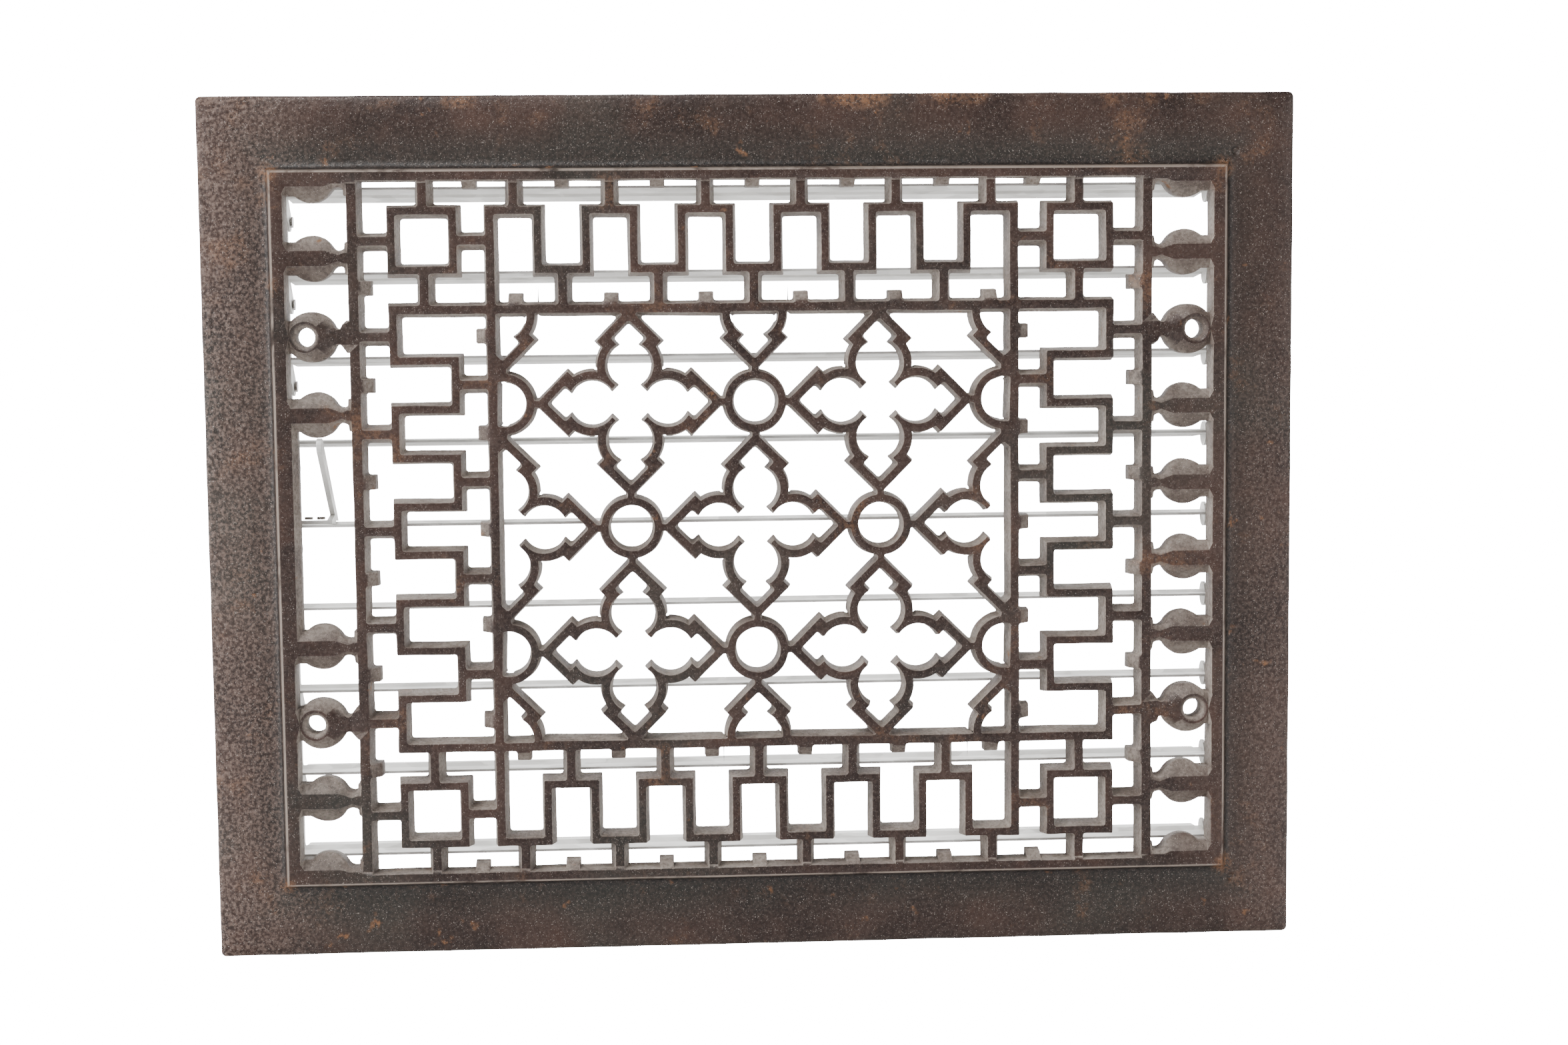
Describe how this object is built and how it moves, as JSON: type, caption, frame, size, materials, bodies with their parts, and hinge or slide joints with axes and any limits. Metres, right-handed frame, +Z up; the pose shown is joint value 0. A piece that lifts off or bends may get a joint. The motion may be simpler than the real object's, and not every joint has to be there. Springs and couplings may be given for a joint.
{
  "type": "louvred air register",
  "caption": "Pierced cast-iron wall register with a fretwork and quatrefoil face, and a louvre valve behind it that a finger lever opens and closes.",
  "frame": {"origin": "centre of the face plate's flat back, the plane that lies on the wall", "axes": "+X along the width, to the right as seen from the room; +Y into the wall; +Z up"},
  "size_m": [0.3556, 0.051, 0.28],
  "materials": {
    "cast_iron": "worn dark brown cast iron with rust spots",
    "zinc_sheet": "dull zinc-coated sheet",
    "bright_steel": "plain steel",
    "lever_iron": "dark brown iron"
  },
  "bodies": {
    "plate_and_box": {"face_plate": "cast_iron", "valve_rail_left": "zinc_sheet", "valve_rail_right": "zinc_sheet", "valve_rail_top": "zinc_sheet", "valve_rail_bottom": "zinc_sheet", "valve_screw_1": "bright_steel", "valve_screw_2": "bright_steel", "valve_screw_3": "bright_steel", "valve_screw_4": "bright_steel", "friction_washer": "bright_steel"},
    "leaf_1": {"louvre_1": "zinc_sheet", "link_rivet_1": "bright_steel"},
    "leaf_2": {"louvre_2": "zinc_sheet", "link_rivet_2": "bright_steel"},
    "leaf_3": {"louvre_3": "zinc_sheet", "link_rivet_3": "bright_steel"},
    "leaf_4": {"louvre_4": "zinc_sheet", "link_rivet_4": "bright_steel"},
    "leaf_5": {"louvre_5": "zinc_sheet", "link_rivet_5": "bright_steel", "lever": "lever_iron", "lever_rivet_1": "bright_steel", "lever_rivet_2": "bright_steel"},
    "leaf_6": {"louvre_6": "zinc_sheet", "link_rivet_6": "bright_steel"},
    "leaf_7": {"louvre_7": "zinc_sheet", "link_rivet_7": "bright_steel"},
    "leaf_8": {"louvre_8": "zinc_sheet", "link_rivet_8": "bright_steel"},
    "leaf_9": {"louvre_9": "zinc_sheet", "link_rivet_9": "bright_steel"},
    "link": {"link_bar": "zinc_sheet"}
  },
  "joints": [
    {"name": "leaf_5_hinge", "type": "hinge", "parent": "plate_and_box", "child": "leaf_5", "pos_m": [0, 0.0182, 0], "axis": [1, 0, 0], "range_deg": [0, 87]},
    {"name": "leaf_1_hinge", "type": "hinge", "parent": "plate_and_box", "child": "leaf_1", "pos_m": [0, 0.0182, -0.1096], "axis": [1, 0, 0], "range_deg": [0, 87]},
    {"name": "leaf_2_hinge", "type": "hinge", "parent": "plate_and_box", "child": "leaf_2", "pos_m": [0, 0.0182, -0.0822], "axis": [1, 0, 0], "range_deg": [0, 87]},
    {"name": "leaf_3_hinge", "type": "hinge", "parent": "plate_and_box", "child": "leaf_3", "pos_m": [0, 0.0182, -0.0548], "axis": [1, 0, 0], "range_deg": [0, 87]},
    {"name": "leaf_4_hinge", "type": "hinge", "parent": "plate_and_box", "child": "leaf_4", "pos_m": [0, 0.0182, -0.0274], "axis": [1, 0, 0], "range_deg": [0, 87]},
    {"name": "leaf_6_hinge", "type": "hinge", "parent": "plate_and_box", "child": "leaf_6", "pos_m": [0, 0.0182, 0.0274], "axis": [1, 0, 0], "range_deg": [0, 87]},
    {"name": "leaf_7_hinge", "type": "hinge", "parent": "plate_and_box", "child": "leaf_7", "pos_m": [0, 0.0182, 0.0548], "axis": [1, 0, 0], "range_deg": [0, 87]},
    {"name": "leaf_8_hinge", "type": "hinge", "parent": "plate_and_box", "child": "leaf_8", "pos_m": [0, 0.0182, 0.0822], "axis": [1, 0, 0], "range_deg": [0, 87]},
    {"name": "leaf_9_hinge", "type": "hinge", "parent": "plate_and_box", "child": "leaf_9", "pos_m": [0, 0.0182, 0.1096], "axis": [1, 0, 0], "range_deg": [0, 87]},
    {"name": "link_hinge", "type": "hinge", "parent": "leaf_5", "child": "link", "pos_m": [0, 0.0269, -0.00826], "axis": [1, 0, 0], "range_deg": [-87, 0]}
  ],
  "couplings": [
    {"joint": "leaf_1_hinge", "follows": "leaf_5_hinge", "ratio": 1},
    {"joint": "leaf_2_hinge", "follows": "leaf_5_hinge", "ratio": 1},
    {"joint": "leaf_3_hinge", "follows": "leaf_5_hinge", "ratio": 1},
    {"joint": "leaf_4_hinge", "follows": "leaf_5_hinge", "ratio": 1},
    {"joint": "leaf_6_hinge", "follows": "leaf_5_hinge", "ratio": 1},
    {"joint": "leaf_7_hinge", "follows": "leaf_5_hinge", "ratio": 1},
    {"joint": "leaf_8_hinge", "follows": "leaf_5_hinge", "ratio": 1},
    {"joint": "leaf_9_hinge", "follows": "leaf_5_hinge", "ratio": 1},
    {"joint": "link_hinge", "follows": "leaf_5_hinge", "ratio": -1}
  ]
}
